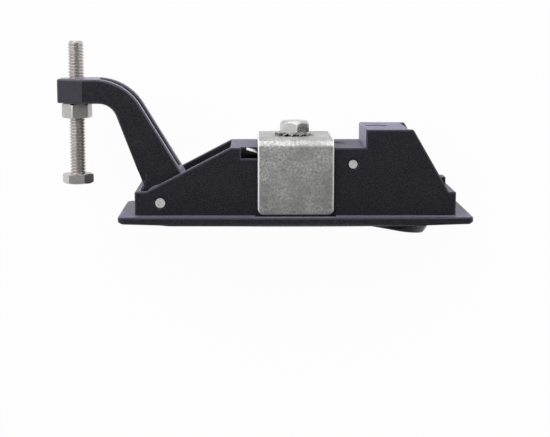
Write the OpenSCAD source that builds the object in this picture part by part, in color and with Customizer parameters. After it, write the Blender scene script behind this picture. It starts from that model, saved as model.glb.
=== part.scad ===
// Adjustable lever latch for a panel door, held by a clamp bracket from behind.
// Origin: middle of the bezel's back face. +X runs along the length toward the trigger,
// +Y points into the door, -Y is the front face, +Z is up. Millimetres.

/* [Bezel] */
// Length of the bezel
bezel_l = 143.6; // [140:0.1:160]
// Height of the bezel at the middle of its length
bezel_w = 52; // [50:0.5:60]
// Thickness of the bezel at its middle
bezel_t = 3.8; // [3:0.1:5]
// How far the long sides bow outward
bezel_bow = 1.1; // [0.2:0.1:2]
// How far the front face falls away at the ends
bezel_crown = 1; // [0.2:0.1:1.4]
// Corner radius of the bezel
bezel_corner_r = 3; // [1:0.5:5]
// Width of the bevel round the front edge
bezel_bevel = 1.6; // [0.5:0.1:2.5]

/* [Pan] */
// Outer length of the pan that goes through the panel
pan_l = 130.4; // [126:0.2:134]
// Outer width of the pan
pan_w = 38; // [36:0.5:42]
// Thickness of the side walls
wall = 3; // [2:0.1:3.2]
// Thickness of the end wall beside the lever pivot
lever_end_wall = 2.3; // [2:0.1:3]
// Thickness of the end wall beside the trigger, at its middle
trigger_end_wall = 4.5; // [3.5:0.1:5]
// Radius of the opening's round end
opening_r = 17.7; // [16.5:0.1:20]
// Height of the end walls behind the bezel
end_wall_h = 9.6; // [7:0.2:12]
// Height of the deck that the bracket sits over
deck_h = 27.5; // [26.5:0.1:30]
// Thickness of the deck
deck_t = 3; // [2:0.1:3.4]
// Where the deck begins, left of the middle
deck_reach = 26.4; // [22:0.2:28]
// Height of the raised block over the trigger
block_h = 34.8; // [32:0.2:38]
// Where the raised block begins
block_x = 28.3; // [27.5:0.1:31]
// Length of the raised block's top
block_l = 19.2; // [14:0.2:22]
// Depth of the reliefs under the bracket's feet
foot_relief = 0.6; // [0.3:0.1:1.2]
// Diameter of the round marks on the deck and block
mark_d = 9; // [5:0.5:10]
// Depth of the round marks
mark_depth = 0.2; // [0.1:0.05:0.6]
// Reach of the web behind the trigger's round end
end_web = 3.5; // [2:0.1:4.5]

/* [Pivots] */
// Width of the sunk ring round each pin's end
pin_ring = 0.6; // [0.3:0.1:0.8]
// Depth of that ring below the pin's end
ring_depth = 0.8; // [0.4:0.1:1.2]
// Distance of the lever pivot from the opening's end
pivot_inset = 8.05; // [7.8:0.05:9]
// Height of the lever pivot behind the panel face
pivot_y = 5; // [4.6:0.1:5.6]
// Diameter of the lever pivot pin
lever_pin_d = 4; // [3:0.1:5]
// Position of the trigger pivot along the latch
trigger_pivot_x = 23.2; // [22.5:0.1:24.5]
// Height of the trigger pivot behind the panel face
trigger_pivot_y = 20.8; // [19.5:0.1:21]
// Diameter of the trigger pivot pin
trigger_pin_d = 3.5; // [2.5:0.1:4]
// Position of the spring's cross pin along the latch
spring_pin_x = 8; // [6:0.2:10]
// Height of the spring's cross pin
spring_pin_y = 13; // [11:0.2:14]
// Diameter of the spring's cross pin
spring_pin_d = 3; // [2:0.1:3.4]

/* [Lever] */
// Width of the lever's face
lever_w = 30.1; // [28:0.1:31]
// Position of the lever's free end
lever_end_x = 23.3; // [20:0.1:23.4]
// Thickness of the lever's plate
lever_t = 3.8; // [3:0.1:4.6]
// Radius of the lever's pivot end
lever_hub_r = 6.75; // [6:0.05:7.2]
// Rounding of the lever's pivot end at the front
lever_nose_r = 3.8; // [2:0.1:4.4]
// How far the lever's face lies behind the bezel's
lever_sink = 0.1; // [0:0.05:0.6]

/* [Arm] */
// Width of the arm
arm_w = 21; // [18:0.5:23]
// Thickness of the arm at the bolt
arm_t = 9.9; // [8:0.1:12]
// Height of the arm's back face at the bolt
arm_top = 54.4; // [50:0.2:60]
// How far the arm reaches past the lever pivot
arm_reach = 42.5; // [41:0.1:46]
// Distance of the bolt from the arm's tip
bolt_inset = 7.35; // [6:0.05:10]
// Half width of the arm's tip
arm_tip_half = 6; // [4.5:0.1:8]
// Length of the arm's tapered nose
arm_nose = 10.8; // [8:0.1:14]
// Outer bend radius of the arm
arm_outer_r = 22; // [18:0.5:24]
// Inner bend radius of the arm
arm_inner_r = 7.5; // [5:0.5:9]
// Thickness of the arm's foot on the lever
arm_foot_t = 3.4; // [2.5:0.1:4.5]
// Width of each rim beside the channel in the arm's back
arm_rim = 5; // [3:0.1:7]
// Depth of the channel in the arm's back
arm_channel = 4.5; // [2:0.1:6]
// Depth of the coned recess above the arm's pivot
heel_depth = 1.8; // [0.8:0.1:3]
// Length of the arm's foot beyond the pivot
arm_foot_l = 28; // [26:0.5:30]
// Head diameter of the foot screws
foot_screw_head_d = 6; // [5:0.1:7]

/* [Trigger] */
// Half height of the trigger, and radius of its round end
trigger_r = 14.7; // [14:0.1:15.2]
// Length of the trigger's face
trigger_l = 30.8; // [29:0.1:31]
// Outward tilt of the trigger at rest
trigger_tilt = 10.3; // [9:0.1:11]
// Distance from the trigger pivot to its face
trigger_face = 24.3; // [23.6:0.1:25]
// Distance from the trigger pivot to its left edge, along the face
trigger_edge = 5.1; // [4.9:0.1:6]
// How far the trigger's round end flares behind the face
trigger_flare = 2.5; // [1:0.1:2.6]
// Depth of the flare
trigger_flare_h = 6; // [4:0.1:7]
// Depth of the trigger's cup
trigger_depth = 15; // [12:0.5:16]
// Wall of the trigger's cup
trigger_wall = 2.2; // [1.6:0.1:2.8]
// Half width of the trigger's stop lug
lug_half = 4; // [3:0.1:5]
// Diameter of the round cap in the trigger
cap_d = 25.1; // [22:0.1:26]
// Thickness of the cap's disc
cap_t = 1.6; // [1:0.1:1.8]
// Diameter of the cap's stem
cap_stem_d = 16; // [12:0.5:18]

/* [Bracket] */
// Width of the clamp bracket
bracket_w = 30.8; // [26:0.2:34]
// Sheet thickness of the bracket
bracket_t = 2; // [1.5:0.1:2.5]
// Gap between the deck and the bracket's web
web_gap = 1.5; // [0.6:0.1:2]
// Outer bend radius of the bracket
bracket_bend = 3.2; // [2.8:0.1:4.5]
// Height of the bracket's feet above the panel face
bracket_foot_gap = 0.3; // [0.1:0.05:0.6]
// Corner radius of the bracket's feet
bracket_corner_r = 2.5; // [1:0.1:5]

/* [Fasteners] */
// Thread diameter of the bolt and of the clamp screw
thread_d = 6.35; // [5:0.05:7]
// Width across the flats of their hexagons
hex_af = 11.1; // [10.5:0.1:12]
// Height of the adjusting bolt's head
bolt_head_h = 4.1; // [3:0.1:5]
// Length of the adjusting bolt under its head
bolt_l = 54.7; // [48:0.1:60]
// Front of the bolt's head, behind the panel face
bolt_front_y = 11; // [8:0.2:14]
// Height of the lock nut
nut_h = 5.9; // [4.5:0.01:6]
// Outer diameter of the toothed washer
washer_d = 16.3; // [14:0.1:18]
// Thickness of the toothed washer
washer_t = 0.9; // [0.6:0.1:1.4]
// Number of teeth on the washer
washer_teeth = 14; // [10:1:18]
// Height of the clamp screw's head
screw_head_h = 4.6; // [3.5:0.1:5]
// Length of the clamp screw under its head
screw_l = 12; // [11:0.1:12.6]

/* [Springs] */
// Wire diameter of the lever spring
lever_wire_d = 1.2; // [0.8:0.1:1.4]
// Wire diameter of the trigger spring
trigger_wire_d = 1; // [0.7:0.1:1.2]

/* [Clearances] */
// Radial clearance of a running pin
run_fit = 0.05; // [0.02:0.01:0.1]
// Radial clearance of a pin that is pressed into a wall
press_fit = 0.01; // [0.005:0.005:0.02]
// Radial clearance of a screw in its thread
thread_fit = 0.08; // [0.03:0.01:0.1]
// Gap between sheet or moving faces
side_gap = 0.3; // [0.2:0.05:0.5]

/* [Hidden] */
$fn = 64;
cut = 1;
big = 200;
black = [0.05, 0.05, 0.055];
bright = [0.75, 0.76, 0.78];
steel = [0.6, 0.61, 0.63];

inner_half = pan_w / 2 - wall;
opening_x0 = -pan_l / 2 + lever_end_wall;
opening_x1 = pan_l / 2 - trigger_end_wall;
pivot_x = opening_x0 + pivot_inset;
block_end = block_x + block_l;
lever_back = -bezel_t + lever_sink + lever_t;
arm_tip_x = pivot_x - arm_reach;
bolt_x = arm_tip_x + bolt_inset;
arm_under = arm_top - arm_t;
outer_start = 8;
inner_start = 10;
outer_lean = 31.4;
inner_lean = 20.8;
web_under = deck_h + web_gap;
web_top = web_under + bracket_t;
flange_half = pan_w / 2 + side_gap + bracket_t;
screw_seat = web_top + washer_t;
boss_d = thread_d + 6;
boss_h = 5;
trigger_coil_r = trigger_pin_d / 2 + trigger_wire_d / 2 + 0.25;
trigger_leg_l = 8;
trigger_ear_r = trigger_pin_d / 2 + 1.5;
notch_inset = 4.3;
pin_sink = 0.2;
cap_u = trigger_edge + trigger_l - trigger_r;
cap_sink = 0.1;
index_d = 1.6;
index_depth = 0.4;
hex_r = hex_af / sqrt(3);

// Points of an arc about a centre, from one angle to another.
function arc(c, r, a0, a1, n = 12) =
    [for (i = [0:n]) c + r * [cos(a0 + (a1 - a0) * i / n), sin(a0 + (a1 - a0) * i / n)]];

// Front of the crowned bezel at a position along the length.
function crown_y(x) = -bezel_t + bezel_crown * pow(2 * x / bezel_l, 2);

// Half height of the bowed bezel at a position along the length.
function bow_z(x) = bezel_w / 2 - bezel_bow * pow(2 * x / bezel_l, 2);

// Evenly spaced positions from a to b.
function steps(a, b, n) = [for (i = [0:n]) a + (b - a) * i / n];

function unit(v) = v / norm(v);

// Extrudes an outline drawn in X and Z from one Y to another.
module along_y(y0, y1) {
    translate([0, y1, 0]) rotate([90, 0, 0]) linear_extrude(y1 - y0) children();
}

// Extrudes an outline drawn in Y and Z over a length centred on X = 0.
module along_x(l) {
    rotate([90, 0, 90]) linear_extrude(l, center = true) children();
}

// Extrudes an outline drawn in X and Y over a width centred on Z = 0.
module across(w) {
    linear_extrude(w, center = true) children();
}

// A cylinder along Z at a place in X and Y.
module pin_at(x, y, d, l) {
    translate([x, y, 0]) cylinder(d = d, h = l, center = true);
}

// A cylinder along Y at a place in X and Z.
module post(x, y0, y1, d, z = 0) {
    translate([x, y0, z]) rotate([-90, 0, 0]) cylinder(d = d, h = y1 - y0);
}

// A hexagon along Y, turned by an angle, whose corners are turned off at both ends.
module hex_block(x, y0, y1, turn = 0) {
    chamfer = hex_r - hex_af / 2;
    reach = hex_r + chamfer * 0.2;
    fall = chamfer * 0.7;
    h = y1 - y0;
    translate([x, y0, 0]) rotate([-90, 0, 0]) intersection() {
        rotate([0, 0, turn]) cylinder(r = hex_r, h = h, $fn = 6);
        rotate_extrude() polygon([[0, 0], [hex_af / 2, 0], [reach, fall], [reach, h - fall],
                                  [hex_af / 2, h], [0, h]]);
    }
}

// A round wire along a path that never runs along Z.
module wire(path, d, sides = 8) {
    n = len(path);
    rings = [for (i = [0:n - 1])
        let (t = unit(path[min(i + 1, n - 1)] - path[max(i - 1, 0)]),
             a = unit(cross([0, 0, 1], t)),
             b = cross(t, a))
        for (k = [0:sides - 1]) path[i] + d / 2 * (cos(360 * k / sides) * a + sin(360 * k / sides) * b)];
    walls = [for (i = [0:n - 2]) for (k = [0:sides - 1])
        let (j = (k + 1) % sides)
        [i * sides + k, (i + 1) * sides + k, (i + 1) * sides + j, i * sides + j]];
    ends = [[for (k = [0:sides - 1]) k], [for (k = [sides - 1:-1:0]) (n - 1) * sides + k]];
    polyhedron(rings, concat(walls, ends));
}

// A coil about Z, as path points, starting at angle a0 and rising with each turn.
function coil(c, r, a0, turns, pitch, n = 16) =
    [for (i = [0:turns * n])
        let (a = a0 + 360 * i / n)
        [c[0] + r * cos(a), c[1] + r * sin(a), c[2] + pitch * i / n]];

// Outline of the bezel in X and Z, with bowed long sides and round corners.
module bezel_outline() {
    xe = bezel_l / 2;
    rc = bezel_corner_r;
    ze = bow_z(xe - rc) - rc;
    upper = concat(arc([xe - rc, ze], rc, 0, 90),
                   [for (x = steps(xe - rc, rc - xe, 16)) [x, bow_z(x)]],
                   arc([rc - xe, ze], rc, 90, 180));
    polygon(concat(upper, [for (p = upper) -p]));
}

// Bezel: bowed outline, crowned front and bevelled front edges.
module bezel() {
    xe = bezel_l / 2;
    ze = bezel_w / 2;
    b = bezel_bevel;
    half_bevel = b * 0.35;
    intersection() {
        along_y(-bezel_t, 0) bezel_outline();
        across(bezel_w) polygon(concat(
            [[xe, 0], [-xe, 0], [-xe, crown_y(xe) + b * 0.7], [-xe + half_bevel, crown_y(xe) + half_bevel]],
            [for (x = steps(-xe + b, xe - b, 24)) [x, crown_y(x)]],
            [[xe - half_bevel, crown_y(xe) + half_bevel], [xe, crown_y(xe) + b * 0.7]]));
        along_x(bezel_l) polygon([
            [0, -ze], [0, ze], [-bezel_t + b, ze], [-bezel_t + half_bevel, ze - half_bevel],
            [-bezel_t, ze - b], [-bezel_t, b - ze], [-bezel_t + half_bevel, half_bevel - ze],
            [-bezel_t + b, -ze]]);
    }
}

// Opening of the bezel in X and Z: straight sides and one round end.
module opening_outline() {
    intersection() {
        translate([opening_x0, -inner_half]) square([opening_x1 - opening_x0, 2 * inner_half]);
        union() {
            translate([opening_x1 - opening_r, 0]) circle(r = opening_r);
            translate([opening_x0, -inner_half])
                square([opening_x1 - opening_r - opening_x0, 2 * inner_half]);
        }
    }
}

// Side of the pan in X and Y.
module pan_side() {
    xe = pan_l / 2;
    slope_x = opening_x0 + lever_end_wall;
    polygon([[-xe, -cut], [-xe, end_wall_h], [slope_x, end_wall_h], [-deck_reach, deck_h], [block_x, deck_h],
             [block_x, block_h], [block_end, block_h], [xe - wall, end_wall_h], [xe, end_wall_h],
             [xe, -cut]]);
}

// Room inside the pan in X and Y, open at the back at both ends.
module pan_room() {
    step_x = block_x + deck_t * 0.8;
    polygon([[-big, -big], [-big, big], [-deck_reach, big], [-deck_reach, deck_h - deck_t],
             [step_x, deck_h - deck_t], [step_x, block_h - deck_t], [block_end - wall / 2, block_h - deck_t],
             [block_end - wall / 2, big], [big, big], [big, -big]]);
}

// Web behind the trigger's round end, above the trigger's travel.
module end_web_piece() {
    web_y = end_wall_h + 0.8;
    web_t = 2;
    intersection() {
        across(pan_w) pan_side();
        along_y(web_y, web_y + web_t) intersection() {
            translate([opening_x1 - opening_r / 2, -pan_w / 2]) square([pan_l, pan_w]);
            translate([opening_x1 - opening_r, 0]) difference() {
                circle(r = opening_r + cut);
                circle(r = opening_r - end_web);
            }
        }
    }
}

// A round recess in both outer walls.
module wall_ring(x, y, d) {
    for (side = [0, 1]) mirror([0, 0, side])
        translate([x, y, pan_w / 2 - pin_sink - ring_depth]) cylinder(d = d, h = big);
}

// Die-cast pan with its bezel, deck, screw boss and pin holes.
module housing() {
    notch_x0 = notch_inset - deck_reach;
    notch_x1 = 1.75 * notch_inset - bracket_w / 2;
    notch_y = deck_h - deck_t * 1.5;
    sweep_r = pivot_y + bezel_t + 2 * side_gap;
    relief_x = bracket_w / 2 + cut;
    relief_z = flange_half - pan_w / 2 + cut;
    slot_half = lug_half + 2 * side_gap;
    mark_inset = 1.3;
    color(black) difference() {
        union() {
            difference() {
                union() {
                    bezel();
                    across(pan_w) pan_side();
                }
                intersection() {
                    along_y(-big, big) opening_outline();
                    across(2 * inner_half) pan_room();
                }
            }
            post(0, deck_h - deck_t - boss_h, deck_h - deck_t / 2, boss_d);
            end_web_piece();
        }
        post(0, 0, deck_h + cut, thread_d + 2 * thread_fit);
        pin_at(pivot_x, pivot_y, 2 * sweep_r, 2 * inner_half);
        pin_at(pivot_x, pivot_y, lever_pin_d + 2 * press_fit, big);
        pin_at(trigger_pivot_x, trigger_pivot_y, trigger_pin_d + 2 * press_fit, big);
        pin_at(spring_pin_x, spring_pin_y, spring_pin_d + 2 * press_fit, big);
        trigger_room();
        wall_ring(pivot_x, pivot_y, lever_pin_d + 2 * pin_ring);
        wall_ring(trigger_pivot_x, trigger_pivot_y, trigger_pin_d + 2 * pin_ring);
        translate([notch_x0, notch_y, inner_half - cut]) cube([notch_x1 - notch_x0, big, wall + 2 * cut]);
        for (side = [0, 1]) mirror([0, 0, side])
            translate([-relief_x, -foot_relief, pan_w / 2]) cube([2 * relief_x, foot_relief + cut, relief_z]);
        translate([block_end, end_wall_h, -slot_half]) cube([pan_l, deck_h, 2 * slot_half]);
        post(bracket_w / 2 + mark_inset, deck_h - mark_depth, deck_h + cut, mark_d);
        post(block_x + mark_inset + mark_d / 2, block_h - mark_depth, block_h + cut, mark_d);
    }
}

// Pins across the pan, each a little short of the outer walls.
module cross_pin(x, y, d) {
    color(steel) pin_at(x, y, d, pan_w - 2 * pin_sink);
}

module lever_pin() {
    cross_pin(pivot_x, pivot_y, lever_pin_d);
}

module trigger_pin() {
    cross_pin(trigger_pivot_x, trigger_pivot_y, trigger_pin_d);
}

module spring_pin() {
    cross_pin(spring_pin_x, spring_pin_y, spring_pin_d);
}

// Torsion spring that kicks the lever out: one leg in the wall's notch, one on the lever's back.
module lever_spring() {
    r = spring_pin_d / 2 + lever_wire_d / 2 + 0.25;
    z0 = inner_half - 5 * lever_wire_d;
    c = [spring_pin_x, spring_pin_y, z0];
    notch_z = pan_w / 2 - wall / 2;
    leg_l = 22;
    tip = [1.5 * notch_inset - deck_reach, deck_h - deck_t / 6, notch_z];
    bend = [1.85 * notch_inset - bracket_w / 2, deck_h - deck_t - lever_wire_d,
            inner_half - 0.6 * lever_wire_d];
    rest = [spring_pin_x - leg_l, lever_back + lever_wire_d / 2 + side_gap, z0];
    turns = coil(c, r, 250, 2.5, lever_wire_d * 1.15);
    color(bright) wire(concat([rest], turns, [bend, tip]), lever_wire_d);
}

// Turns of the trigger spring round its pin.
function trigger_coil() =
    coil([trigger_pivot_x, trigger_pivot_y, -2 * trigger_wire_d], trigger_coil_r, 0, 2.25,
         trigger_wire_d * 1.15);

// End of the trigger spring's leg under the deck.
function trigger_spring_rest(z) =
    [trigger_pivot_x - trigger_leg_l, deck_h - deck_t - trigger_wire_d / 2 - side_gap, z];

// Room under the deck for the trigger's ears, its spring's turns and the spring's upper leg.
module trigger_room() {
    turns = trigger_coil();
    last = turns[len(turns) - 1];
    rest = trigger_spring_rest(last[2]);
    reach = (trigger_wire_d + side_gap) / 2;
    along = unit([rest[0] - last[0], rest[1] - last[1]]) * reach;
    side = [-along[1], along[0]];
    a = [last[0], last[1]];
    b = [rest[0], rest[1]] + along;
    pin_at(trigger_pivot_x, trigger_pivot_y, 2 * (trigger_ear_r + side_gap), 2 * inner_half);
    translate([0, 0, last[2] - reach]) linear_extrude(2 * reach)
        polygon([a + side, b + side, b - side, a - side]);
}

// Torsion spring that pushes the trigger out: one leg under the deck, one over the trigger's edge.
module trigger_spring() {
    turns = trigger_coil();
    edge_v = trigger_depth - trigger_face + trigger_wire_d / 2 + side_gap;
    foot = trigger_point(trigger_edge + 2 * trigger_wall, edge_v);
    bend = trigger_point(trigger_edge - trigger_wire_d / 2, edge_v);
    rest = trigger_spring_rest(turns[len(turns) - 1][2]);
    leg = [for (p = [foot, bend]) [p[0], p[1], turns[0][2]]];
    color(bright) wire(concat(leg, turns, [rest]), trigger_wire_d);
}

// U-shaped clamp bracket bent from sheet.
module clamp_bracket() {
    zi = flange_half - bracket_t;
    ri = bracket_bend - bracket_t;
    y0 = bracket_foot_gap;
    outer = concat([[y0, -flange_half]], [[y0, flange_half]],
                   arc([web_top - bracket_bend, flange_half - bracket_bend], bracket_bend, 90, 0),
                   arc([web_top - bracket_bend, bracket_bend - flange_half], bracket_bend, 0, -90));
    inner = concat([[-big, -zi]], [[-big, zi]],
                   arc([web_under - ri, zi - ri], ri, 90, 0),
                   arc([web_under - ri, ri - zi], ri, 0, -90));
    rc = bracket_corner_r;
    xe = bracket_w / 2;
    color(bright) difference() {
        intersection() {
            along_x(bracket_w) difference() {
                polygon(outer);
                polygon(inner);
            }
            across(big) polygon(concat([[-xe, big], [xe, big]], arc([xe - rc, y0 + rc], rc, 0, -90),
                                       arc([rc - xe, y0 + rc], rc, -90, -180)));
        }
        post(0, deck_h, web_top + cut, thread_d + 0.6);
    }
}

// External-tooth lock washer.
module tooth_washer() {
    gap_w = washer_d * PI / washer_teeth * 0.42;
    rim = hex_af / 2 + 0.6;
    color(bright) along_y(web_top, screw_seat) difference() {
        circle(d = washer_d);
        circle(d = thread_d + 0.4);
        for (i = [0:washer_teeth - 1]) rotate(360 * (i + 0.5) / washer_teeth)
            translate([rim, -gap_w / 2]) square([washer_d, gap_w]);
    }
}

// Hexagon-head screw that draws the bracket down.
module clamp_screw() {
    seat_t = 0.5;
    corner_front = 30;
    color(bright) union() {
        hex_block(0, screw_seat + seat_t, screw_seat + seat_t + screw_head_h, corner_front);
        post(0, screw_seat, screw_seat + seat_t + 0.2, hex_af);
        post(0, screw_seat - screw_l, screw_seat + seat_t + 0.2, thread_d);
    }
}

// Side of the lever in X and Y: crowned face, rounded nose and pivot end.
module lever_side() {
    nose_x = pivot_x - lever_hub_r + lever_nose_r;
    nose_y = crown_y(nose_x) + lever_sink + lever_nose_r;
    edge = 0.6;
    union() {
        polygon(concat([[pivot_x - lever_hub_r, pivot_y]],
                       arc([nose_x, nose_y], lever_nose_r, 180, 270),
                       [for (x = steps(nose_x + 1, lever_end_x - edge, 16)) [x, crown_y(x) + lever_sink]],
                       [[lever_end_x, crown_y(lever_end_x) + lever_sink + edge], [lever_end_x, lever_back],
                        [pivot_x + lever_hub_r + 2, lever_back], [pivot_x + lever_hub_r, lever_back + 2],
                        [pivot_x + lever_hub_r, pivot_y]]));
        translate([pivot_x, pivot_y]) circle(r = lever_hub_r);
    }
}

// Flush lever with round corners, two pivot ears and two holes for the arm's screws.
module lever() {
    edge = 0.5;
    half = lever_w / 2;
    front = -bezel_t + lever_sink;
    ear_gap = arm_w + 2 * side_gap;
    end_r = 1.2;
    hub_r = 2.5;
    x0 = pivot_x - lever_hub_r;
    upper = concat(arc([lever_end_x - end_r, half - end_r], end_r, 0, 90, 6),
                   arc([x0 + hub_r, half - hub_r], hub_r, 90, 180, 6));
    lower = [for (i = [len(upper) - 1:-1:0]) [upper[i][0], -upper[i][1]]];
    color(black) difference() {
        intersection() {
            across(lever_w) lever_side();
            along_y(-big, big) polygon(concat(upper, lower));
            along_x(big) polygon([[big, -half], [big, half], [front + edge, half], [front, half - edge],
                                  [front - cut, half - edge], [front - cut, edge - half],
                                  [front, edge - half], [front + edge, -half]]);
        }
        translate([pivot_x - big / 2, lever_back, -ear_gap / 2]) cube([big, big, ear_gap]);
        pin_at(pivot_x, pivot_y, lever_pin_d + 2 * run_fit, big);
        for (z = foot_screw_z())
            post(foot_screw_x(), lever_back - lever_t * 0.6, lever_back + cut, foot_screw_d(), z);
    }
}

function foot_screw_x() = pivot_x + arm_foot_l - foot_screw_head_d / 2 - 2;
function foot_screw_z() = [-arm_w / 4 - 1, arm_w / 4 + 1];
function foot_screw_d() = foot_screw_head_d * 0.55;

// Side of the arm in X and Y: foot, pivot eye, leaning leg, bend and level tip.
module arm_side() {
    outer_bend = arc([bolt_x + outer_start, arm_top - arm_outer_r], arm_outer_r, 90, outer_lean);
    inner_bend = arc([bolt_x + inner_start, arm_under - arm_inner_r], arm_inner_r, inner_lean, 90);
    outer_end = outer_bend[len(outer_bend) - 1];
    inner_end = inner_bend[0];
    foot_top = lever_back + arm_foot_t;
    toe = pivot_x + arm_foot_l;
    eye = lever_hub_r - 0.9;
    heel_y = pivot_y + 6;
    polygon(concat([[arm_tip_x, arm_under], [arm_tip_x, arm_top]], outer_bend,
                   [[outer_end[0] + (outer_end[1] - foot_top) * tan(outer_lean), foot_top],
                    [toe, foot_top], [toe, lever_back], [pivot_x - eye + 2, lever_back],
                    [pivot_x - eye, lever_back + 2], [pivot_x - eye, pivot_y],
                    [inner_end[0] + (inner_end[1] - heel_y) * tan(inner_lean), heel_y]],
                   inner_bend));
}

// Channel along the back of the arm in X and Y, from the bend down to above the foot.
module arm_channel_side() {
    c = [bolt_x + outer_start, arm_top - arm_outer_r];
    down = [sin(outer_lean), -cos(outer_lean)];
    out = [cos(outer_lean), sin(outer_lean)];
    run = (c[1] - lever_back - 2 * arm_foot_t) / cos(outer_lean);
    floor_r = arm_outer_r - arm_channel;
    clear_r = arm_outer_r + cut;
    start = 86;
    polygon(concat(arc(c, clear_r, start, outer_lean),
                   [c + clear_r * out + run * down, c + floor_r * out + run * down],
                   arc(c, floor_r, outer_lean, start)));
}

// Coned recess in both flanks of the arm above its pivot, open to the inner edge.
module heel_recess(half) {
    recess_x = pivot_x - lever_hub_r - 2;
    recess_y = pivot_y + 9.6;
    floor_r = 2.2;
    mouth_r = 3.4;
    for (side = [0, 1]) mirror([0, 0, side])
        translate([recess_x, recess_y, half - heel_depth])
            cylinder(r1 = floor_r, r2 = mouth_r, h = heel_depth + cut);
}

// Cranked arm that carries the adjusting bolt.
module latch_arm() {
    half = arm_w / 2;
    nose_x = arm_tip_x + arm_nose;
    color(black) difference() {
        intersection() {
            across(arm_w) arm_side();
            along_y(-big, big) polygon([[arm_tip_x, -arm_tip_half], [nose_x, -half], [big, -half],
                                        [big, half], [nose_x, half], [arm_tip_x, arm_tip_half]]);
        }
        across(arm_w - 2 * arm_rim) arm_channel_side();
        heel_recess(half);
        post(bolt_x, arm_under - cut, arm_top + cut, thread_d + 2 * thread_fit);
        pin_at(pivot_x, pivot_y, lever_pin_d + 2 * run_fit, big);
        for (z = foot_screw_z())
            post(foot_screw_x(), lever_back - cut, lever_back + arm_foot_t + cut, foot_screw_d(), z);
    }
}

// Round-head screw through the arm's foot into the lever.
module arm_screw(z) {
    seat = lever_back + arm_foot_t;
    color(steel) difference() {
        union() {
            post(foot_screw_x(), lever_back - lever_t * 0.6, seat + 0.2, foot_screw_d() - 2 * press_fit, z);
            post(foot_screw_x(), seat, seat + 2, foot_screw_head_d, z);
        }
        post(foot_screw_x(), seat + 0.8, seat + 2 + cut, foot_screw_d(), z, $fn = 6);
    }
}

module arm_screw_upper() {
    arm_screw(foot_screw_z()[1]);
}

module arm_screw_lower() {
    arm_screw(foot_screw_z()[0]);
}

// A point of the tilted trigger, given along and behind its face from the pivot.
function trigger_point(u, v) =
    [trigger_pivot_x + u * cos(trigger_tilt) + v * sin(trigger_tilt),
     trigger_pivot_y - u * sin(trigger_tilt) + v * cos(trigger_tilt)];

// Places what is drawn along the trigger's face, with the pivot at the origin.
module on_trigger() {
    translate([trigger_pivot_x, trigger_pivot_y, 0]) rotate([0, 0, -trigger_tilt]) children();
}

// Round end of the trigger's cup, flared behind the face, grown or shrunk by a wall.
module trigger_end(shrink, v0, v1) {
    r = trigger_r - shrink;
    flare_r = r + trigger_flare;
    lip = 0.8;
    translate([cap_u, v0, 0]) rotate([-90, 0, 0]) rotate_extrude() polygon([
        [0, 0], [r, 0], [flare_r, trigger_flare_h], [flare_r - lip, v1 - v0], [0, v1 - v0]]);
}

// Rocking trigger: cup with a flared round end, two pivot ears and a stop lug.
module trigger() {
    half = trigger_r;
    v0 = -trigger_face;
    v1 = v0 + trigger_depth;
    w = trigger_wall;
    floor_v = v0 + w + 1;
    ear_low = v1 - 9;
    lug_h = 4;
    lug_l = 7.7;
    lug_out = 2.2;
    edge = 0.5;
    color(black) difference() {
        union() {
            on_trigger() difference() {
                intersection() {
                    union() {
                        translate([trigger_edge, v0, -half]) cube([cap_u - trigger_edge, v1 - v0, 2 * half]);
                        trigger_end(0, v0, v1);
                    }
                    along_x(big) polygon([[big, -half], [big, half], [v0 + edge, half], [v0, half - edge],
                                          [v0, edge - half], [v0 + edge, -half]]);
                    across(big) polygon([[trigger_edge, big], [trigger_edge, v0 + edge],
                                         [trigger_edge + edge, v0], [big, v0], [big, big]]);
                }
                intersection() {
                    union() {
                        translate([trigger_edge + w, floor_v, w - half])
                            cube([cap_u - trigger_edge - w, big, 2 * (half - w)]);
                        trigger_end(w, floor_v, v1 + cut);
                    }
                    translate([0, floor_v, w - half]) cube([big, big, 2 * (half - w)]);
                }
            }
            on_trigger() for (side = [0, 1]) mirror([0, 0, side])
                translate([0, 0, half - w - 1]) linear_extrude(w + 1) union() {
                    circle(r = trigger_ear_r);
                    polygon([[-trigger_ear_r, 0], [trigger_edge, v1 - 4], [trigger_edge, ear_low],
                             [cap_u - 4, ear_low], [cap_u - 4, v1], [trigger_ear_r, 0]]);
                }
            on_trigger() translate([cap_u + half - w, v1 - lug_h, -lug_half])
                cube([w + 1.2, lug_h + 6, 2 * lug_half]);
            translate([opening_x1 + lug_out - lug_l, end_wall_h + side_gap, -lug_half])
                cube([lug_l, lug_h, 2 * lug_half]);
        }
        on_trigger() {
            pin_at(0, 0, trigger_pin_d + 2 * run_fit, big);
            post(cap_u, v0 - cut, v0 + cap_t + cap_sink, cap_d + side_gap);
            post(cap_u, v0 - cut, floor_v + cut, cap_stem_d + 2 * cap_sink);
            translate([cap_u - cap_stem_d, floor_v, w - half])
                cube([2 * cap_stem_d - 2, trigger_depth, 2 * (half - w)]);
        }
    }
}

// Round cap in the trigger, with a stem behind and an index notch at its top.
module trigger_cap() {
    v0 = -trigger_face;
    stem_end = v0 + trigger_wall + 5;
    color(black) on_trigger() difference() {
        union() {
            post(cap_u, v0 + cap_sink, v0 + cap_sink + cap_t, cap_d);
            post(cap_u, v0 + cap_t, stem_end, cap_stem_d);
        }
        post(cap_u, v0 - cut, v0 + cap_t - index_depth, index_d, cap_d / 2);
        difference() {
            post(cap_u, v0 + trigger_wall + 1.2, v0 + trigger_wall + 2.4, cap_stem_d + 2);
            post(cap_u, v0, stem_end, cap_stem_d - 2);
        }
    }
}

// Open spring clip in the groove of the cap's stem.
module cap_clip() {
    v0 = -trigger_face + trigger_wall + 1.3;
    color(steel) on_trigger() translate([cap_u, 0, 0]) along_y(v0, v0 + 1) difference() {
        circle(d = cap_stem_d + 3.4);
        circle(d = cap_stem_d - 1.8);
        translate([0, -cap_stem_d * 0.3]) square([big, cap_stem_d * 0.6]);
    }
}

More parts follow.
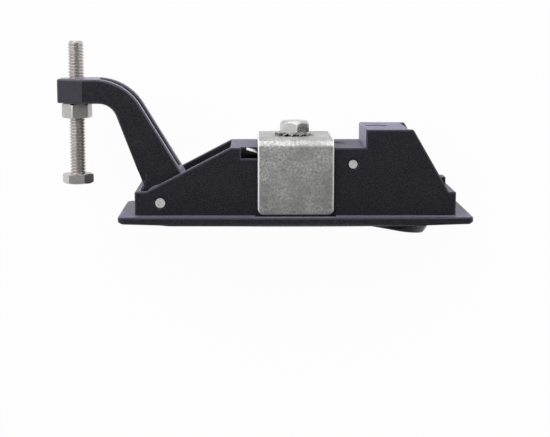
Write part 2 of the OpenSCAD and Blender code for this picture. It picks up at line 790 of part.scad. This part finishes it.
// Hexagon bolt that presses on the frame, with its thread through the arm.
module adjusting_bolt() {
    root = 0.2;
    tip = 0.8;
    r = thread_d / 2;
    h = bolt_l + root;
    color(bright) union() {
        hex_block(bolt_x, bolt_front_y, bolt_front_y + bolt_head_h);
        translate([bolt_x, bolt_front_y + bolt_head_h - root, 0]) rotate([-90, 0, 0])
            rotate_extrude() polygon([[0, 0], [r, 0], [r, h - tip], [r - tip, h], [0, h]]);
    }
}

// Lock nut under the arm.
module lock_nut() {
    nut_gap = 0.4;
    nut_turn = 19;
    color(bright) difference() {
        hex_block(bolt_x, arm_under - nut_gap - nut_h, arm_under - nut_gap, nut_turn);
        post(bolt_x, arm_under - nut_gap - nut_h - cut, arm_under, thread_d + 2 * thread_fit);
    }
}

housing();
lever_pin();
trigger_pin();
spring_pin();
lever_spring();
trigger_spring();
clamp_bracket();
tooth_washer();
clamp_screw();
lever();
latch_arm();
arm_screw_upper();
arm_screw_lower();
trigger();
trigger_cap();
cap_clip();
adjusting_bolt();
lock_nut();
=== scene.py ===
"""Adjustable lever latch: finishes, threads, rounded edges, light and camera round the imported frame."""
import math

import bmesh
import bpy
import numpy as np
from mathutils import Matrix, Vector


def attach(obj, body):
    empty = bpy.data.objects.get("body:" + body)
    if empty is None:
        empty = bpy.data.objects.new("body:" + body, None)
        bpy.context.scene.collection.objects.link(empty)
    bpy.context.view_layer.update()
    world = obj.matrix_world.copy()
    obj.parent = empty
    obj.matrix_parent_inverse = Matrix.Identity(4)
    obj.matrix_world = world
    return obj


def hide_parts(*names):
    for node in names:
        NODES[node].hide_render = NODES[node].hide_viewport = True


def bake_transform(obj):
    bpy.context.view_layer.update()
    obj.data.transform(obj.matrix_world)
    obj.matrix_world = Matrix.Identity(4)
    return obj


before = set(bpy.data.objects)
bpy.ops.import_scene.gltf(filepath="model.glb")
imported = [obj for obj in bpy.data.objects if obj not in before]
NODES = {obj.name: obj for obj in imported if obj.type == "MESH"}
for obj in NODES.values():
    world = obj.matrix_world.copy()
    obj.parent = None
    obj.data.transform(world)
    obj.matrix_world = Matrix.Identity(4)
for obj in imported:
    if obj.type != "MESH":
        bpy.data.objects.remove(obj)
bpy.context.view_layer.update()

# Units: metres in a millimetre, and the reach of merging and cutting in metres
MM = 0.001
MERGE = 1e-6
CUT_REACH = 1e-7

# Threads and hexagons, in millimetres: the profile's places are shares of a pitch
THREAD_R = 3.175
THREAD_ROOT = 2.58
PITCH = 1.27
PROFILE_AT = (0.0, 0.09, 0.29, 0.71, 0.91, 1.0)
PROFILE_R = (THREAD_ROOT, THREAD_ROOT, THREAD_R, THREAD_R, THREAD_ROOT, THREAD_ROOT)
THREAD_STEPS = 48
TIP_R = THREAD_ROOT - 0.25
TIP_SLOPE = 1.1
HEX_AF = 11.1
HEX_STEPS = 96
SHANK_OVERLAP = 0.1

# Adjusting bolt, in millimetres: the chamfer is a share of what the corners stand out past the flats
BOLT_X = -90.0
BOLT_FRONT = 11.0
BOLT_HEAD = 4.1
BOLT_END = 69.8
BOLT_TURN = math.radians(30)
BOLT_CHAMFER = 0.7 * (HEX_AF / math.sqrt(3) - HEX_AF / 2)
BOLT_CHAMFER_SLOPE = 1.75
BOLT_CHAMFER_ROWS = 6

# Clamp screw, in millimetres: round flange, low foot chamfer and high crown chamfer
SCREW_SEAT = 31.9
SCREW_FLANGE = 0.5
SCREW_FLANGE_R = 5.55
SCREW_HEAD = 4.6
SCREW_TIP = 19.9
SCREW_TURN = math.radians(8)
SCREW_FOOT = 0.2
SCREW_FOOT_R = 6.1
SCREW_CORNER_R = 6.5
SCREW_CROWN = 1.45
SCREW_CHAMFER_ROWS = 8

# Toothed washer, in millimetres: a tooth's places are shares of its own width
WASHER_BORE = 3.5
WASHER_RIM = 6.3
WASHER_LIP = 0.15
WASHER_TIP = 8.15
WASHER_MID = 31.68
WASHER_T = 0.32
WASHER_TEETH = 14
TOOTH_AT = (0.0, 0.02, 0.25, 0.5, 0.75, 0.98, 1.0)
TOOTH_SHARE = 0.58
TOOTH_LIFT = (-0.5, 0.6)

# Rounded edges: width in millimetres and body of each piece, and the angles that sort its edges
ROUNDED = {
    "housing": (0.6, "housing"),
    "lever": (0.5, "lever"),
    "latch_arm": (0.7, "lever"),
    "trigger": (0.45, "trigger"),
    "clamp_bracket": (0.6, "bracket"),
    "trigger_cap": (0.3, "trigger"),
    "lock_nut": (0.2, "nut"),
}
ROUND_STEPS = 3
LONG_CORNER = 2
ROOM = 1.1
PINS_AT = [(-54.85, 5.0), (23.2, 20.8), (8.0, 13.0)]
RING_R = 3.3
SMOOTH_ANGLE = math.radians(32)
FACET_ANGLE = math.radians(18)
FLAT_ANGLE = math.radians(0.5)
CORNER = math.radians(35)
STEEP_CORNER = math.radians(65)

# Grain: noise scales in cycles a metre, and the stretch of each noise that is used
CLOUD_SCALE = 90.0
CLOUD_RANGE = (0.3, 0.7)
SPECK_FINENESS = 1.6
SPECK_RANGE = (0.48, 0.78)
PATCH_RANGE = (0.3, 0.7)
SMUDGE_SCALE = 110.0
SMUDGE_RANGE = (0.35, 0.6)
STREAK_SCALE = (60.0, 2400.0, 2400.0)
STREAK_RANGE = (0.25, 0.75)

# Wear and painted highlight: how far rounded edges go toward the lighter colour, partly as wear and partly
# as a painted edge highlight, and lose roughness, and what smudges leave
WEAR_AND_HIGHLIGHT = 0.6
POLISH = 0.12
SMUDGE = 0.35

# Coats and metals: two colours, roughness range, grain scale, and bump strength and height in metres
COAT_TINT = (0.88, 0.87, 1.0, 1.0)
SHEEN_TINT = (0.74, 0.71, 1.0, 1.0)
SHEEN_ROUGH = 0.25
COATS = {
    "cast_black": dict(dark=(0.0105, 0.0105, 0.0140), speck=(0.048, 0.048, 0.060), rough=(0.36, 0.46),
                       scale=1650.0, strength=0.6, distance=0.00015),
    "arm_black": dict(dark=(0.0055, 0.0055, 0.0080), speck=(0.046, 0.046, 0.058), rough=(0.26, 0.34),
                      scale=2000.0, strength=0.3, distance=0.00008, gloss=0.6),
    "cap_black": dict(dark=(0.013, 0.013, 0.0165), speck=(0.034, 0.034, 0.043), rough=(0.34, 0.44),
                      scale=2400.0, strength=0.3, distance=0.00008),
}
METALS = {
    "sheet_steel": dict(low=(0.31, 0.31, 0.305), high=(0.96, 0.96, 0.955), rough=(0.42, 0.54),
                        scale=1300.0, strength=0.12, distance=0.00002, spread=0.64),
    "plated_steel": dict(low=(0.50, 0.50, 0.49), high=(0.80, 0.80, 0.79), rough=(0.23, 0.31),
                         scale=700.0, strength=0.05, distance=0.00001, spread=0.3),
    "bright_steel": dict(low=(0.52, 0.49, 0.475), high=(0.86, 0.82, 0.80), rough=(0.34, 0.40),
                         scale=700.0, strength=0.0, distance=0.00001, spread=0.45),
    "pin_steel": dict(low=(0.62, 0.60, 0.585), high=(1.0, 0.97, 0.95), rough=(0.50, 0.62),
                      scale=1500.0, strength=0.1, distance=0.00002),
    "spring_wire": dict(low=(0.62, 0.60, 0.60), high=(0.76, 0.74, 0.74), rough=(0.2, 0.3),
                        scale=500.0, strength=0.0, distance=0.00001),
}
SLOT_OF = {
    "housing": "cast_black", "lever": "cast_black", "trigger": "cast_black", "latch_arm": "arm_black",
    "trigger_cap": "cap_black", "clamp_bracket": "sheet_steel", "tooth_washer": "plated_steel",
    "clamp_screw": "plated_steel", "adjusting_bolt": "bright_steel", "lock_nut": "bright_steel",
    "lever_pin": "pin_steel", "trigger_pin": "pin_steel", "spring_pin": "pin_steel", "cap_clip": "pin_steel",
    "arm_screw_upper": "pin_steel", "arm_screw_lower": "pin_steel", "lever_spring": "spring_wire",
    "trigger_spring": "spring_wire",
}

# Camera at the photograph's upper view: millimetres, degrees and pixels, with clipping in metres
CAMERA_AT = (-18.67, 83.84, 575.38)
CAMERA_TURN = (-8.698, -1.047, 0.092)
FOCAL_PX = 1387.1
FRAME_W = 550
SENSOR = 36.0
CLIP = (0.01, 20.0)

# Floor: height in millimetres, half width in metres, and how much of it glows for the camera
FLOOR_Z = -26.4
FLOOR_REACH = 3.0
FLOOR_GREY = (0.86, 0.86, 0.86, 1.0)
FLOOR_ROUGH = 0.9
FLOOR_GLOSS = 0.1
FLOOR_GLOW = 0.96

# Lamps: place and aim in millimetres, width in metres, power in watts
MIDDLE = (-15, 20, 0)
ARM = (-60, 30, 0)
LAMPS = {
    "key": ((-60, 640, 260), MIDDLE, 1.75, 13.0),
    "front": ((60, -640, 330), MIDDLE, 0.6, 1.0),
    "side": ((680, 160, 260), MIDDLE, 0.5, 0.8),
    "left": ((-560, 120, 420), ARM, 0.8, 1.3),
}

# Room: it grows dimmer toward one direction, the camera's side and right
WHITE = (1.0, 1.0, 1.0, 1.0)
DIM_SIDE = (0.45, -0.15, 0.88)
DIM_RANGE = (-0.1, 0.8)
ROOM_BRIGHT = 0.5
ROOM_DIM = 0.16


def link_new(name, data):
    """A new object at the origin, put into the scene."""
    obj = bpy.data.objects.new(name, data)
    bpy.context.scene.collection.objects.link(obj)
    return obj


def close_up(mesh):
    """Merges doubled points, drops loose ones, closes each open ring and turns all faces outwards."""
    bm = bmesh.new()
    bm.from_mesh(mesh)
    bmesh.ops.remove_doubles(bm, verts=bm.verts, dist=MERGE)
    bmesh.ops.delete(bm, geom=[v for v in bm.verts if not v.link_faces], context="VERTS")
    bmesh.ops.holes_fill(bm, edges=[e for e in bm.edges if e.is_boundary], sides=0)
    bmesh.ops.recalc_face_normals(bm, faces=bm.faces)
    bm.to_mesh(mesh)
    bm.free()


def shade_by_angle(mesh):
    """Edges sharper than the smooth angle stay crisp and the rest shade smooth."""
    mesh.polygons.foreach_set("use_smooth", np.full(len(mesh.polygons), True))
    mesh.set_sharp_from_angle(angle=SMOOTH_ANGLE)


def new_mesh(name, points, faces):
    """A closed mesh object at the origin from points in millimetres and faces of vertex numbers."""
    mesh = bpy.data.meshes.new(name)
    mesh.from_pydata((np.asarray(points) * MM).tolist(), [], faces)
    close_up(mesh)
    shade_by_angle(mesh)
    return link_new(name, mesh)


def grid_faces(rows, cols, closed=True):
    """Quads between the rows of a rows by cols grid of points; closed joins the last column to the first."""
    i, j = np.meshgrid(np.arange(rows - 1), np.arange(cols if closed else cols - 1), indexing="ij")
    k = (j + 1) % cols
    quads = np.stack([i * cols + j, i * cols + k, (i + 1) * cols + k, (i + 1) * cols + j], -1)
    return quads.reshape(-1, 4)


def around_y(x, y, r, angle):
    """Points at a radius and angle about an upright axis at x, at height y."""
    return np.stack([x + r * np.cos(angle), y, -r * np.sin(angle)], -1)


def hex_rows(y_rows, limits, x, turn):
    """Rings of a hexagon about Y: at each height the radius is the smaller of the hexagon's own
    radius, half the flats over the cosine of the angle from the nearest flat, and the turned limit."""
    angle = np.arange(HEX_STEPS) * 2 * math.pi / HEX_STEPS
    from_flat = (angle + math.pi / 6) % (math.pi / 3) - math.pi / 6
    hexagon = HEX_AF / 2 / np.cos(from_flat)
    r = np.minimum(hexagon[None, :], np.asarray(limits)[:, None])
    y = np.repeat(np.asarray(y_rows)[:, None], HEX_STEPS, 1)
    return around_y(x, y, r, angle + turn)


def thread_surface(x, y0, y1, free_y):
    """A screw thread about Y: a profile of root, crest and root is carried along a helix that rises one
    pitch a turn. Heights are held between y0 and y1, and the radius shrinks to a bevel at the free end."""
    turns = (y1 - y0) / PITCH + 2
    t = np.arange(int(turns * THREAD_STEPS) + 1)[:, None] / THREAD_STEPS
    y = np.clip(y0 - PITCH + t * PITCH + np.array(PROFILE_AT) * PITCH, y0, y1)
    bevel = TIP_R + np.abs(free_y - y) * TIP_SLOPE
    return around_y(x, y, np.minimum(PROFILE_R, bevel), 2 * math.pi * t)


def hex_screw(name, x, head_rows, head_limits, y0, y1, free_y, turn):
    """A hexagon head made of rings, closed at both ends, with a threaded shank that runs from y0 to y1.
    Strips that the two end heights press flat are left out, and one face closes each end."""
    head = hex_rows(head_rows, head_limits, x, turn)
    rows, cols = head.shape[:2]
    shank = thread_surface(x, y0, y1, free_y)
    strips = grid_faces(*shank.shape[:2], closed=False)
    rise = np.ptp(shank[..., 1].ravel()[strips], axis=1)
    faces = grid_faces(rows, cols).tolist()
    faces.append(list(range(cols)))
    faces.append(list(range((rows - 1) * cols, rows * cols)))
    faces += (strips[rise > 0] + rows * cols).tolist()
    return new_mesh(name, np.concatenate([head.reshape(-1, 3), shank.reshape(-1, 3)]), faces)


def threaded_bolt():
    """The adjusting bolt: its head's limit widens by a slope from either face, so both are chamfered."""
    lift = np.linspace(0, BOLT_CHAMFER, BOLT_CHAMFER_ROWS)
    limit = HEX_AF / 2 + lift * BOLT_CHAMFER_SLOPE
    back = BOLT_FRONT + BOLT_HEAD
    rows = np.concatenate([BOLT_FRONT + lift, back - lift[::-1]])
    limits = np.concatenate([limit, limit[::-1]])
    return hex_screw("threaded_bolt", BOLT_X, rows, limits, back - SHANK_OVERLAP, BOLT_END, BOLT_END,
                     BOLT_TURN)


def threaded_screw():
    """The clamp screw: a round flange, then a head whose limit widens over a low foot, and narrows over the
    crown by as much as it rises."""
    share = np.linspace(0, 1.0, SCREW_CHAMFER_ROWS)
    foot = SCREW_SEAT + SCREW_FLANGE
    crown = foot + SCREW_HEAD - SCREW_CROWN
    rows = np.concatenate([[SCREW_SEAT, foot], foot + share * SCREW_FOOT, crown + share * SCREW_CROWN])
    widening = SCREW_FOOT_R + share * (SCREW_CORNER_R - SCREW_FOOT_R)
    limits = np.concatenate([[SCREW_FLANGE_R] * 2, widening, SCREW_CORNER_R - share * SCREW_CROWN])
    return hex_screw("threaded_screw", 0.0, rows, limits, SCREW_TIP, SCREW_SEAT + SHANK_OVERLAP, SCREW_TIP,
                     SCREW_TURN)


def toothed_ring(name):
    """A ring about Y carried round the axis as one closed section of bore, rim and tip. Between the teeth
    the tip stays by the rim; along a tooth it reaches out, and its height climbs from the low to the high
    lift, so that each tooth is twisted."""
    share = np.array(TOOTH_AT)
    tooth = np.arange(WASHER_TEETH)[:, None]
    angle = ((tooth + TOOTH_SHARE * share) * 2 * math.pi / WASHER_TEETH).reshape(-1, 1)
    on_tooth = np.tile((share > 0) & (share < 1), WASHER_TEETH)
    lift = np.where(on_tooth, np.tile(np.interp(share, [0, 1], TOOTH_LIFT), WASHER_TEETH), 0)
    tip = np.where(on_tooth, WASHER_TIP, WASHER_RIM + WASHER_LIP)
    r = np.stack([np.full_like(tip, WASHER_BORE), np.full_like(tip, WASHER_RIM), tip], -1)
    y = WASHER_MID + np.stack([0 * lift, 0 * lift, lift], -1)
    r = np.concatenate([r, r[:, ::-1]], 1)
    y = np.concatenate([y - WASHER_T / 2, y[:, ::-1] + WASHER_T / 2], 1)
    rows, cols = r.shape
    faces = grid_faces(rows + 1, cols) % (rows * cols)
    return new_mesh(name, around_y(0.0, y, r, angle).reshape(-1, 3), faces.tolist())


def sharp_edges(bm, width):
    """Edges to round: outward corners whose flat neighbours at both ends are longer than the round is wide,
    so that the rounds never run into each other. Short blunt corners and the pins' rings stay crisp."""
    def by_pin(edge):
        at = edge.verts[0].co / MM
        return any(math.hypot(at.x - x, at.y - y) < RING_R for x, y in PINS_AT)

    def is_corner(edge):
        turn = edge.calc_face_angle_signed(0.0) if edge.is_manifold else 0.0
        return turn > STEEP_CORNER or (turn > CORNER and edge.calc_length() > LONG_CORNER * width)

    corners = {e for e in bm.edges if is_corner(e) and not by_pin(e)}

    def has_room(edge):
        near = [e for v in edge.verts for e in v.link_edges if e not in corners]
        return all(e.calc_length() > ROOM * width for e in near)

    return [e for e in corners if has_room(e)]


def cut_through(bm, at, normal):
    """Cuts every face on a plane and keeps the cut as a seam, so that no face is left with a hole."""
    geom = bm.verts[:] + bm.edges[:] + bm.faces[:]
    cut = bmesh.ops.bisect_plane(bm, geom=geom, dist=CUT_REACH, plane_co=at, plane_no=normal)["geom_cut"]
    for item in cut:
        if isinstance(item, bmesh.types.BMEdge):
            item.seam = True


def rounded_copy(node, width):
    """A merged copy of a CAD node whose outward corners are rounded by strips of that width in millimetres.
    The strips shade smooth between crisp borders, and carry 1 in a face attribute by which the finishes
    lighten them, partly as wear and partly as a painted edge highlight."""
    mesh = NODES[node].data.copy()
    obj = link_new(node + "_rounded", mesh)
    bm = bmesh.new()
    bm.from_mesh(mesh)
    bmesh.ops.remove_doubles(bm, verts=bm.verts, dist=MERGE)
    cut_through(bm, (0, 0, 0), (0, 0, 1))
    for x, y in PINS_AT:
        cut_through(bm, (x * MM, 0, 0), (1, 0, 0))
    bmesh.ops.dissolve_limit(bm, angle_limit=FLAT_ANGLE, verts=bm.verts, edges=bm.edges, delimit={"SEAM"})
    # This mark lightens the rounded strips in the finishes: partly wear, partly a painted edge highlight
    strip_mark = bm.faces.layers.float.new("edge_wear_and_highlight")
    made = bmesh.ops.bevel(bm, geom=sharp_edges(bm, width * MM), offset=width * MM, offset_type="OFFSET",
                           segments=ROUND_STEPS, profile=0.5, affect="EDGES", clamp_overlap=False)
    strips = set(made["faces"])
    for face in bm.faces:
        face.smooth = True
        face[strip_mark] = 1.0 if face in strips else 0.0
    for edge in bm.edges:
        sides = {face in strips for face in edge.link_faces}
        edge.smooth = len(sides) == 1 and (True in sides or edge.calc_face_angle(0.0) < FACET_ANGLE)
    bm.to_mesh(mesh)
    bm.free()
    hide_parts(node)
    return obj


def merged_copy(name, node):
    """A copy of a CAD node with its doubled points merged, shaded by angle."""
    mesh = NODES[node].data.copy()
    bm = bmesh.new()
    bm.from_mesh(mesh)
    bmesh.ops.remove_doubles(bm, verts=bm.verts, dist=MERGE)
    bm.to_mesh(mesh)
    bm.free()
    shade_by_angle(mesh)
    return link_new(name, mesh)


def grain_group(name, outputs):
    """An empty shader node group that takes a Vector and a Scale and puts out named values."""
    tree = bpy.data.node_groups.new(name, "ShaderNodeTree")
    tree.interface.new_socket(name="Vector", in_out="INPUT", socket_type="NodeSocketVector")
    tree.interface.new_socket(name="Scale", in_out="INPUT", socket_type="NodeSocketFloat")
    for label in outputs:
        tree.interface.new_socket(name=label, in_out="OUTPUT", socket_type="NodeSocketFloat")
    given = tree.nodes.new("NodeGroupInput").outputs
    return tree, given["Vector"], given["Scale"], tree.nodes.new("NodeGroupOutput").inputs


def feed(tree, socket, value):
    """Sets a node's input to a number, or links another node's output to it."""
    if isinstance(value, (int, float)):
        socket.default_value = value
    else:
        tree.links.new(value, socket)


def worked(tree, operation, *values):
    """A maths node on numbers or other nodes' outputs."""
    node = tree.nodes.new("ShaderNodeMath")
    node.operation = operation
    for socket, value in zip(node.inputs, values):
        feed(tree, socket, value)
    return node.outputs[0]


def ranged(tree, value, span, low=0.0, high=1.0):
    """Maps a value from a span to the stretch from low to high, held at its ends."""
    node = tree.nodes.new("ShaderNodeMapRange")
    node.inputs["From Min"].default_value = span[0]
    node.inputs["From Max"].default_value = span[1]
    node.inputs["To Min"].default_value = low
    node.inputs["To Max"].default_value = high
    tree.links.new(value, node.inputs["Value"])
    return node.outputs["Result"]


def noise(tree, vector, scale, detail):
    """Noise on a vector, at a scale that is a number or another node's output."""
    node = tree.nodes.new("ShaderNodeTexNoise")
    node.inputs["Detail"].default_value = detail
    tree.links.new(vector, node.inputs["Vector"])
    feed(tree, node.inputs["Scale"], scale)
    return node.outputs["Fac"]


def coat_grain():
    """Orange-peel grain of a textured coat: Height is noise at the grain's scale, Speck the brighter part
    of a finer noise, and Cloud slow patches of gloss."""
    tree, vector, scale, out = grain_group("coat_grain", ["Height", "Speck", "Cloud"])
    tree.links.new(noise(tree, vector, scale, detail=3.0), out["Height"])
    speck = noise(tree, vector, worked(tree, "MULTIPLY", scale, SPECK_FINENESS), detail=1.0)
    tree.links.new(ranged(tree, speck, SPECK_RANGE), out["Speck"])
    tree.links.new(noise(tree, vector, CLOUD_SCALE, detail=3.0), out["Cloud"])
    return tree


def metal_grain():
    """Grain of bare metal: Patch is mottling, Smudge broad staining, and Streak noise stretched along X."""
    tree, vector, scale, out = grain_group("metal_grain", ["Patch", "Smudge", "Streak"])
    tree.links.new(noise(tree, vector, scale, detail=5.0), out["Patch"])
    tree.links.new(noise(tree, vector, SMUDGE_SCALE, detail=4.0), out["Smudge"])
    stretch = tree.nodes.new("ShaderNodeMapping")
    stretch.inputs["Scale"].default_value = STREAK_SCALE
    tree.links.new(vector, stretch.inputs["Vector"])
    tree.links.new(noise(tree, stretch.outputs["Vector"], 1.0, detail=2.0), out["Streak"])
    return tree


def material(name):
    """A new material with its node tree and its Principled shader."""
    mat = bpy.data.materials.new(name)
    mat.use_nodes = True
    tree = mat.node_tree
    return mat, tree, tree.nodes["Principled BSDF"]


def place(tree, grain, scale):
    """A grain group's outputs in a material, fed with Object coordinates and its own scale."""
    node = tree.nodes.new("ShaderNodeGroup")
    node.node_tree = grain
    coords = tree.nodes.new("ShaderNodeTexCoord")
    tree.links.new(coords.outputs["Object"], node.inputs["Vector"])
    node.inputs["Scale"].default_value = scale
    return node.outputs


def edge_wear_and_highlight(tree):
    """The mark that rounded strips carry, by which they are lightened as wear and as a painted edge
    highlight; pieces without it give 0.
    """
    node = tree.nodes.new("ShaderNodeAttribute")
    node.attribute_name = "edge_wear_and_highlight"
    return node.outputs["Fac"]


def mixed(tree, factor, a, b):
    """A colour between two colours, by a factor."""
    node = tree.nodes.new("ShaderNodeMix")
    node.data_type = "RGBA"
    node.inputs["A"].default_value = (*a, 1.0)
    node.inputs["B"].default_value = (*b, 1.0)
    tree.links.new(factor, node.inputs["Factor"])
    return node.outputs["Result"]


def bumped(tree, shader, height, strength, distance):
    """Bends a shader's normal by a height."""
    node = tree.nodes.new("ShaderNodeBump")
    node.inputs["Strength"].default_value = strength
    node.inputs["Distance"].default_value = distance
    tree.links.new(height, node.inputs["Height"])
    tree.links.new(node.outputs["Normal"], shader.inputs["Normal"])


def coat(name, grain, dark, speck, rough, scale, strength, distance, gloss=0.25):
    """Black coat: dark base with lighter specks and lighter, smoother rounded edges, partly wear and partly
    a painted edge highlight, roughness that drifts in slow patches, a grain bump and a sheen. Gloss is the
    level of its mirror reflection."""
    mat, tree, shader = material(name)
    held = place(tree, grain, scale)
    on_edge = edge_wear_and_highlight(tree)
    # Rounded edges move toward the speck colour: partly wear, partly a painted edge highlight
    lighter = worked(tree, "MULTIPLY_ADD", on_edge, WEAR_AND_HIGHLIGHT, held["Speck"])
    cloudy = ranged(tree, held["Cloud"], CLOUD_RANGE, *rough)
    tree.links.new(mixed(tree, lighter, dark, speck), shader.inputs["Base Color"])
    tree.links.new(worked(tree, "MULTIPLY_ADD", on_edge, -POLISH, cloudy), shader.inputs["Roughness"])
    bumped(tree, shader, held["Height"], strength, distance)
    shader.inputs["Specular IOR Level"].default_value = gloss
    shader.inputs["Specular Tint"].default_value = COAT_TINT
    shader.inputs["Sheen Weight"].default_value = 1.0
    shader.inputs["Sheen Roughness"].default_value = SHEEN_ROUGH
    shader.inputs["Sheen Tint"].default_value = SHEEN_TINT
    return mat


def metal(name, grain, low, high, rough, scale, strength, distance, spread=1.0):
    """Bare or plated metal: colour drifts between two greys in patches that smudges darken, rounded edges
    take the lighter grey as wear and as a painted rim highlight, and roughness follows the streaks."""
    mat, tree, shader = material(name)
    held = place(tree, grain, scale)
    patch = ranged(tree, held["Patch"], PATCH_RANGE, 0.0, spread)
    clean = ranged(tree, held["Smudge"], SMUDGE_RANGE, SMUDGE, 1.0)
    # Rounded edges go to the high grey: partly wear, partly a painted rim highlight
    tone = worked(tree, "ADD", worked(tree, "MULTIPLY", patch, clean), edge_wear_and_highlight(tree))
    tone.node.use_clamp = True
    tree.links.new(mixed(tree, tone, low, high), shader.inputs["Base Color"])
    tree.links.new(ranged(tree, held["Streak"], STREAK_RANGE, *rough), shader.inputs["Roughness"])
    bumped(tree, shader, held["Streak"], strength, distance)
    shader.inputs["Metallic"].default_value = 1.0
    return mat


def all_finishes():
    """Every finish by the name of its slot."""
    coated = coat_grain()
    bare = metal_grain()
    finishes = {name: coat(name, coated, **look) for name, look in COATS.items()}
    finishes.update({name: metal(name, bare, **look) for name, look in METALS.items()})
    return finishes


def finish_with(obj, slot):
    """Gives an object one finish alone."""
    obj.data.materials.clear()
    obj.data.materials.append(FINISH[slot])


def floor_material():
    """A pale matt floor that glows almost white where the camera or a reflection sees it."""
    mat, tree, shader = material("pale_floor")
    shader.inputs["Base Color"].default_value = FLOOR_GREY
    shader.inputs["Roughness"].default_value = FLOOR_ROUGH
    shader.inputs["Specular IOR Level"].default_value = FLOOR_GLOSS
    glow = tree.nodes.new("ShaderNodeEmission")
    glow.inputs["Color"].default_value = WHITE
    glow.inputs["Strength"].default_value = 1.0
    path = tree.nodes.new("ShaderNodeLightPath").outputs
    seen = worked(tree, "MAXIMUM", path["Is Camera Ray"], path["Is Glossy Ray"])
    both = tree.nodes.new("ShaderNodeMixShader")
    tree.links.new(worked(tree, "MULTIPLY", seen, FLOOR_GLOW), both.inputs["Fac"])
    tree.links.new(shader.outputs["BSDF"], both.inputs[1])
    tree.links.new(glow.outputs["Emission"], both.inputs[2])
    tree.links.new(both.outputs["Shader"], tree.nodes["Material Output"].inputs["Surface"])
    return mat


def lay_floor():
    """One square face under the part."""
    mesh = bpy.data.meshes.new("floor")
    corners = [(-1, -1), (1, -1), (1, 1), (-1, 1)]
    points = [(x * FLOOR_REACH, y * FLOOR_REACH, FLOOR_Z * MM) for x, y in corners]
    mesh.from_pydata(points, [], [(0, 1, 2, 3)])
    mesh.materials.append(floor_material())
    return link_new("floor", mesh)


def softbox(name, at, aim, size, power):
    """A square area lamp at a place in millimetres, turned toward a point."""
    lamp = bpy.data.lights.new(name, "AREA")
    lamp.shape = "SQUARE"
    lamp.size = size
    lamp.energy = power
    obj = link_new(name, lamp)
    obj.location = Vector(at) * MM
    obj.rotation_euler = (Vector(aim) * MM - obj.location).to_track_quat("-Z", "Y").to_euler()


def light_room():
    """A white room for the camera that lights the part less from its dim side: the strength falls with the
    dot product of a ray's direction and that side."""
    world = bpy.data.worlds.new("studio")
    bpy.context.scene.world = world
    world.use_nodes = True
    tree = world.node_tree
    back = tree.nodes["Background"]
    back.inputs["Color"].default_value = WHITE
    way = tree.nodes.new("ShaderNodeTexCoord")
    facing = tree.nodes.new("ShaderNodeVectorMath")
    facing.operation = "DOT_PRODUCT"
    facing.inputs[1].default_value = DIM_SIDE
    tree.links.new(way.outputs["Generated"], facing.inputs[0])
    room = ranged(tree, facing.outputs["Value"], DIM_RANGE, ROOM_BRIGHT, ROOM_DIM)
    path = tree.nodes.new("ShaderNodeLightPath").outputs
    tree.links.new(worked(tree, "MAXIMUM", path["Is Camera Ray"], room), back.inputs["Strength"])


def set_camera():
    """The photograph's viewpoint, with the lens worked out from its focal length in pixels."""
    lens = bpy.data.cameras.new("camera")
    lens.sensor_fit = "HORIZONTAL"
    lens.sensor_width = SENSOR
    lens.lens = FOCAL_PX * SENSOR / FRAME_W
    lens.clip_start, lens.clip_end = CLIP
    camera = link_new("camera", lens)
    camera.location = [c * MM for c in CAMERA_AT]
    camera.rotation_euler = [math.radians(a) for a in CAMERA_TURN]
    bpy.context.scene.camera = camera
    bpy.context.scene.view_settings.view_transform = "Standard"


# Finishes on the CAD pieces
FINISH = all_finishes()
for node, slot in SLOT_OF.items():
    finish_with(NODES[node], slot)

# Rounded castings, sheet and nut
for node, (width, body) in ROUNDED.items():
    obj = rounded_copy(node, width)
    finish_with(obj, SLOT_OF[node])
    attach(obj, body)

# Trigger spring as a merged copy fixed in its resting place
spring = merged_copy("trigger_spring_wire", "trigger_spring")
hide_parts("trigger_spring")
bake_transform(spring)
finish_with(spring, "spring_wire")

# Adjusting bolt with its thread
bolt = threaded_bolt()
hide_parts("adjusting_bolt")
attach(bolt, "bolt")
finish_with(bolt, "bright_steel")

# Clamp screw with a chamfered head over its round flange
screw = threaded_screw()
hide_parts("clamp_screw")
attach(screw, "screw")
finish_with(screw, "plated_steel")

# Washer with twisted teeth
washer = toothed_ring("twisted_washer")
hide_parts("tooth_washer")
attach(washer, "bracket")
finish_with(washer, "plated_steel")

# Floor, lamps, room and camera
floor = lay_floor()
for name, (at, aim, size, power) in LAMPS.items():
    softbox(name, at, aim, size, power)
light_room()
set_camera()
